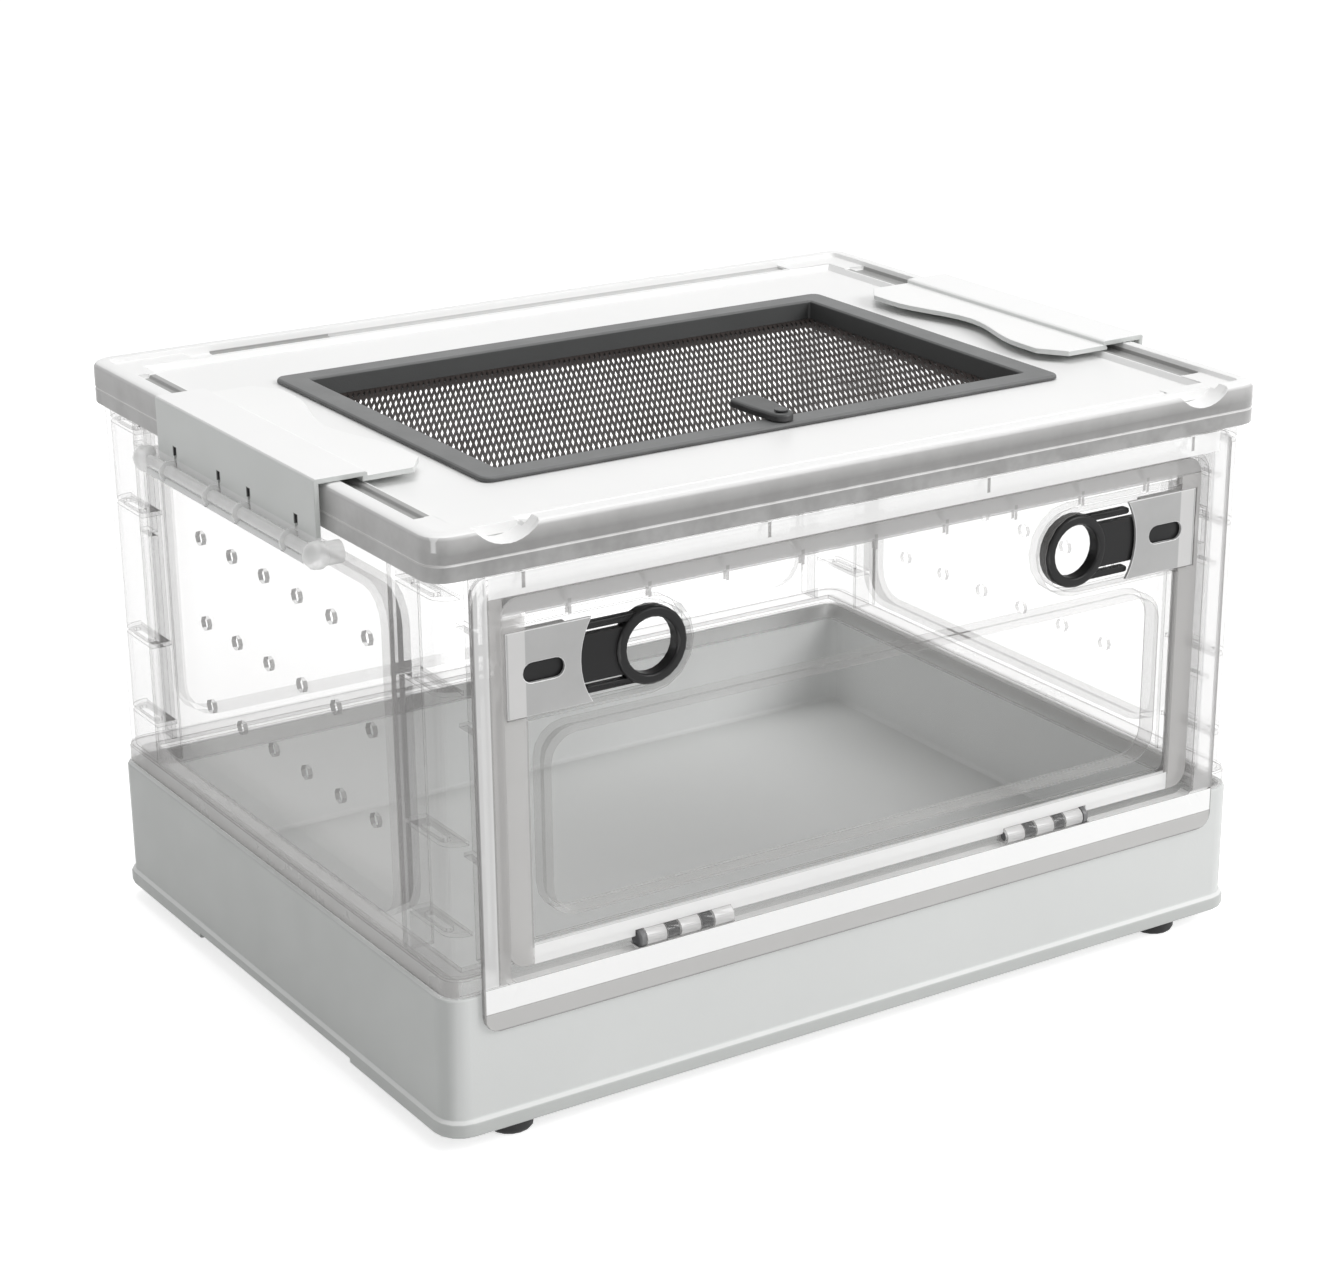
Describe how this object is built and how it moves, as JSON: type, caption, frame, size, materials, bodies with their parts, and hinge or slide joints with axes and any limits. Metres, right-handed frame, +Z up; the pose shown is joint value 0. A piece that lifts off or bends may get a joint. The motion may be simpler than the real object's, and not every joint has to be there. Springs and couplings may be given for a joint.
{
  "type": "reptile feeding box",
  "caption": "Clear-walled feeding box on a deep tray with feet, a fold-down front door with finger-ring slide latches, a lid held by swinging side clamps, and a lift-out meshed vent.",
  "frame": {"origin": "middle of the footprint, on the surface that the four feet stand on", "axes": "+Z up, -Y out of the front door, +X to the right as seen from the front"},
  "size_m": [0.448, 0.327, 0.2673],
  "materials": {
    "tray_plastic": "light grey, satin",
    "foot_rubber": "black, matt",
    "clear_plastic": "clear, polished",
    "lid_plastic": "milky white, semi-gloss",
    "clamp_plastic": "light grey, satin",
    "dark_plastic": "dark grey, satin",
    "black_plastic": "black, satin",
    "cover_plastic": "mid grey, semi-gloss",
    "pin_metal": "dark, satin"
  },
  "bodies": {
    "box": {"base_tray": "tray_plastic", "foot_front_left": "foot_rubber", "foot_front_right": "foot_rubber", "foot_back_left": "foot_rubber", "foot_back_right": "foot_rubber", "seat_ring": "clear_plastic", "front_frame": "clear_plastic", "left_panel": "clear_plastic", "right_panel": "clear_plastic", "back_panel": "clear_plastic", "post_front_left": "clear_plastic", "post_front_right": "clear_plastic", "post_back_left": "clear_plastic", "post_back_right": "clear_plastic", "left_clamp_rod": "clear_plastic", "right_clamp_rod": "clear_plastic", "lid": "lid_plastic", "left_hinge_pin": "pin_metal", "right_hinge_pin": "pin_metal"},
    "door": {"front_door": "clear_plastic", "left_latch_cover": "cover_plastic", "right_latch_cover": "cover_plastic"},
    "left_latch": {"left_latch_slider": "black_plastic"},
    "right_latch": {"right_latch_slider": "black_plastic"},
    "left_lid_clamp": {"left_clamp": "clamp_plastic"},
    "right_lid_clamp": {"right_clamp": "clamp_plastic"},
    "vent": {"vent_frame": "dark_plastic", "vent_net": "dark_plastic", "tab_pivot": "dark_plastic"},
    "vent_turn_tab": {"turn_tab": "dark_plastic"}
  },
  "joints": [
    {"name": "door_hinge", "type": "hinge", "parent": "box", "child": "door", "pos_m": [0, -0.1593, 0.075], "axis": [1, 0, 0], "range_deg": [0, 105]},
    {"name": "left_latch_slide", "type": "slide", "parent": "door", "child": "left_latch", "axis": [-1, 0, 0], "range_m": [0, 0.006]},
    {"name": "right_latch_slide", "type": "slide", "parent": "door", "child": "right_latch", "axis": [1, 0, 0], "range_m": [0, 0.006]},
    {"name": "left_clamp_hinge", "type": "hinge", "parent": "box", "child": "left_lid_clamp", "pos_m": [-0.218, 0, 0.2383], "axis": [0, -1, 0], "range_deg": [0, 135]},
    {"name": "right_clamp_hinge", "type": "hinge", "parent": "box", "child": "right_lid_clamp", "pos_m": [0.218, 0, 0.2383], "axis": [0, 1, 0], "range_deg": [0, 135]},
    {"name": "vent_lift", "type": "slide", "parent": "box", "child": "vent", "axis": [0, 0, 1], "range_m": [0, 0.03]},
    {"name": "turn_tab_pivot", "type": "hinge", "parent": "vent", "child": "vent_turn_tab", "pos_m": [0, -0.08995, 0.264], "axis": [0, 0, 1], "range_deg": [0, 180]}
  ]
}
